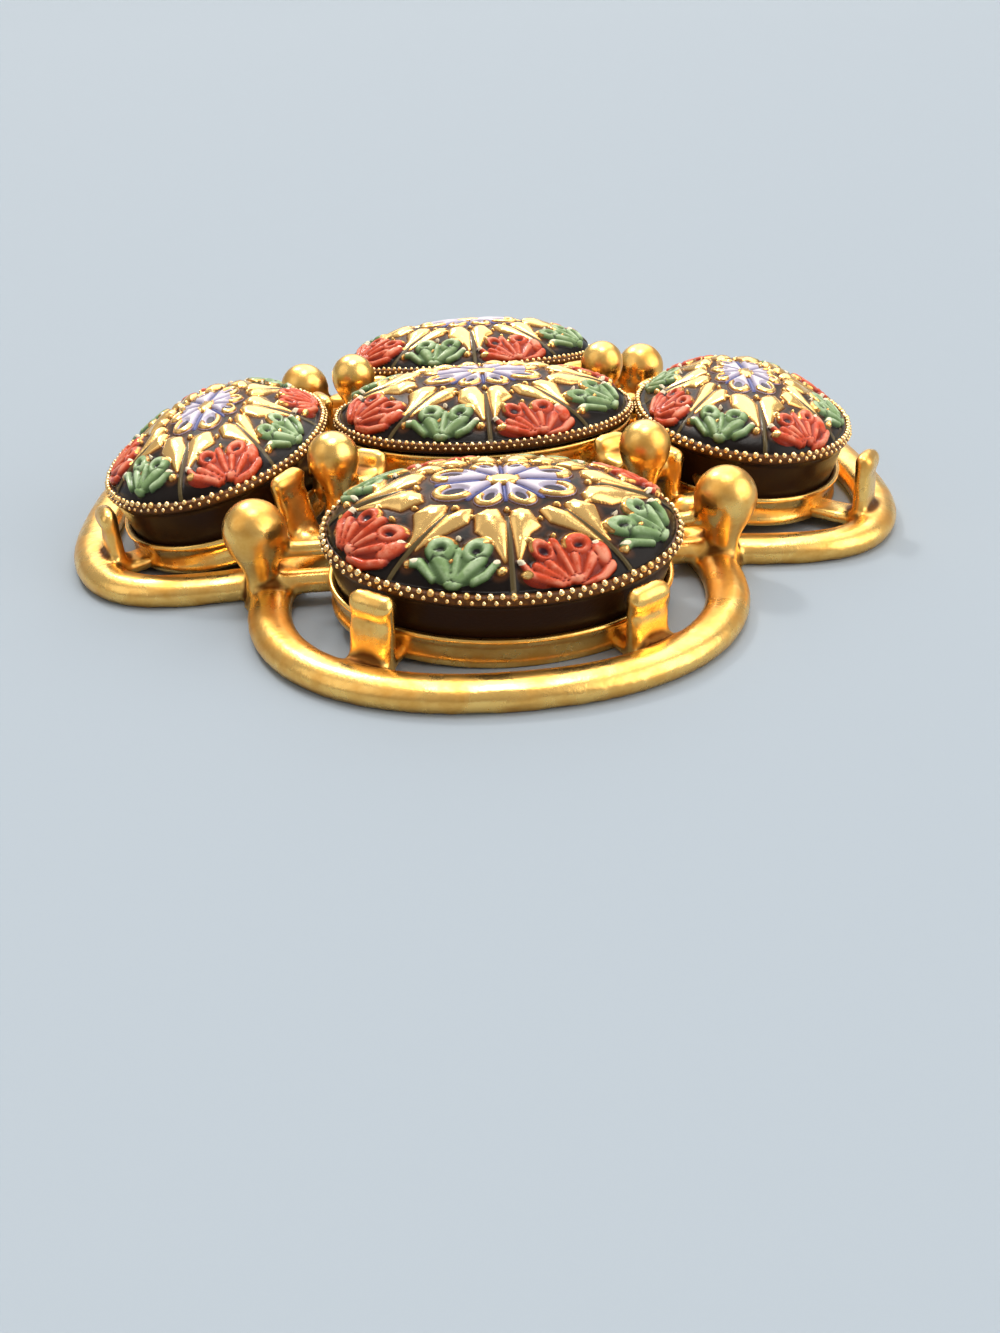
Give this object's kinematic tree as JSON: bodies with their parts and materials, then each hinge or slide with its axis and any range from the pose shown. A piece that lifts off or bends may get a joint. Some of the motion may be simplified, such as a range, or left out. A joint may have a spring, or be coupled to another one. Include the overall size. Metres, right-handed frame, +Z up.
{
  "type": "enamel brooch",
  "caption": "Cross-shaped brooch of domed oval enamel cabochons, held by claws in a gold-coloured cast frame with wire lobes and ball posts.",
  "frame": {"origin": "middle of the brooch on the plane that its back rests on", "axes": "+Z up out of the front of the brooch, X along the centre cabochon, Y towards the back cabochon"},
  "size_m": [0.068, 0.0692, 0.0116],
  "materials": {
    "gold": "satin gold-coloured plating",
    "enamel": "glossy dark enamel with raised coloured and gilt ornament",
    "pin_metal": "plain polished"
  },
  "bodies": {
    "root": {"frame": "gold", "cabochon_front": "enamel", "cabochon_back": "enamel", "cabochon_left": "enamel", "cabochon_right": "enamel", "cabochon_centre": "enamel", "pin": "pin_metal"}
  },
  "joints": []
}
